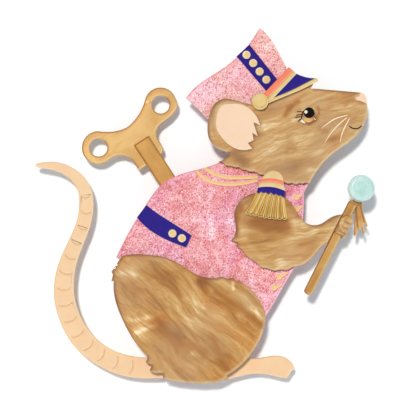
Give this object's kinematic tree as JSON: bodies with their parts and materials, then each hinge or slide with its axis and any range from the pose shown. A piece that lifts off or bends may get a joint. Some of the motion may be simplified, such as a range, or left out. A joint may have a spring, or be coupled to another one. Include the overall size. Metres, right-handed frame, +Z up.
{
  "type": "mouse brooch",
  "caption": "Layered resin brooch of a uniformed mouse with a winding key and sceptre, pinned by a hinged bar pin with a safety catch.",
  "frame": {"origin": "on the pin stem's axis, at the middle of the bar pin", "axes": "+X towards the mouse's nose, +Z up as worn, front of the brooch towards -Y"},
  "size_m": [0.0678, 0.0103, 0.0713],
  "materials": {
    "peach_acrylic": "satin",
    "gold_acrylic": "satin mirror",
    "pale_gold_acrylic": "satin",
    "pink_glitter_resin": "polished, with glitter",
    "pale_pink_glitter_resin": "polished, with glitter",
    "pearl_resin": "polished, swirled pearl",
    "navy_acrylic": "polished",
    "coral_acrylic": "satin",
    "cream_acrylic": "satin",
    "mint_acrylic": "polished pearl",
    "eye_white": "gloss enamel",
    "eye_amber": "gloss enamel",
    "eye_black": "gloss enamel",
    "brown_enamel": "gloss enamel",
    "plated_steel": "polished"
  },
  "bodies": {
    "brooch": {"tail": "peach_acrylic", "foot": "peach_acrylic", "key_bow": "gold_acrylic", "key_shaft": "gold_acrylic", "jacket": "pink_glitter_resin", "back_strap": "navy_acrylic", "strap_stud_1": "cream_acrylic", "strap_stud_2": "cream_acrylic", "shoulder_cord_upper": "pale_gold_acrylic", "shoulder_cord_lower": "pale_gold_acrylic", "frog_1": "pale_gold_acrylic", "frog_2": "pale_gold_acrylic", "frog_3": "pale_gold_acrylic", "frog_4": "pale_gold_acrylic", "haunch": "pearl_resin", "arm": "pearl_resin", "fingers": "pearl_resin", "head": "pearl_resin", "sceptre_shaft": "gold_acrylic", "sceptre_ribbons": "gold_acrylic", "orb_setting": "mint_acrylic", "sceptre_orb": "mint_acrylic", "nose": "peach_acrylic", "eye_white": "eye_white", "eye_iris": "eye_amber", "eye_pupil": "eye_black", "eye_glint": "eye_white", "eyelashes": "eye_black", "mouth_line": "brown_enamel", "whisker_1": "peach_acrylic", "whisker_2": "peach_acrylic", "whisker_3": "peach_acrylic", "inner_ear": "peach_acrylic", "hat_crown": "pale_pink_glitter_resin", "hat_band": "navy_acrylic", "hat_stud_1": "cream_acrylic", "hat_stud_2": "cream_acrylic", "hat_stud_3": "cream_acrylic", "hat_stud_4": "cream_acrylic", "hat_coral_stripe": "coral_acrylic", "hat_gold_stripe": "pale_gold_acrylic", "visor": "navy_acrylic", "visor_trim": "pale_gold_acrylic", "hat_button": "pale_gold_acrylic", "epaulette_dome": "pale_gold_acrylic", "epaulette_coral_stripe": "coral_acrylic", "epaulette_gold_stripe": "pale_gold_acrylic", "epaulette_navy_band": "navy_acrylic", "epaulette_fringe": "gold_acrylic", "pin_base_bar": "plated_steel", "hinge_rivet": "plated_steel"},
    "pin": {"pin_stem": "plated_steel"},
    "catch": {"safety_catch": "plated_steel"}
  },
  "joints": [
    {"name": "pin_hinge", "type": "hinge", "parent": "brooch", "child": "pin", "pos_m": [-0.0091, 0, 0], "axis": [0, 0, 1], "range_deg": [0, 95]},
    {"name": "catch_turn", "type": "hinge", "parent": "brooch", "child": "catch", "pos_m": [0.0088, 0, 0], "axis": [1, 0, 0], "range_deg": [0, 150]}
  ]
}
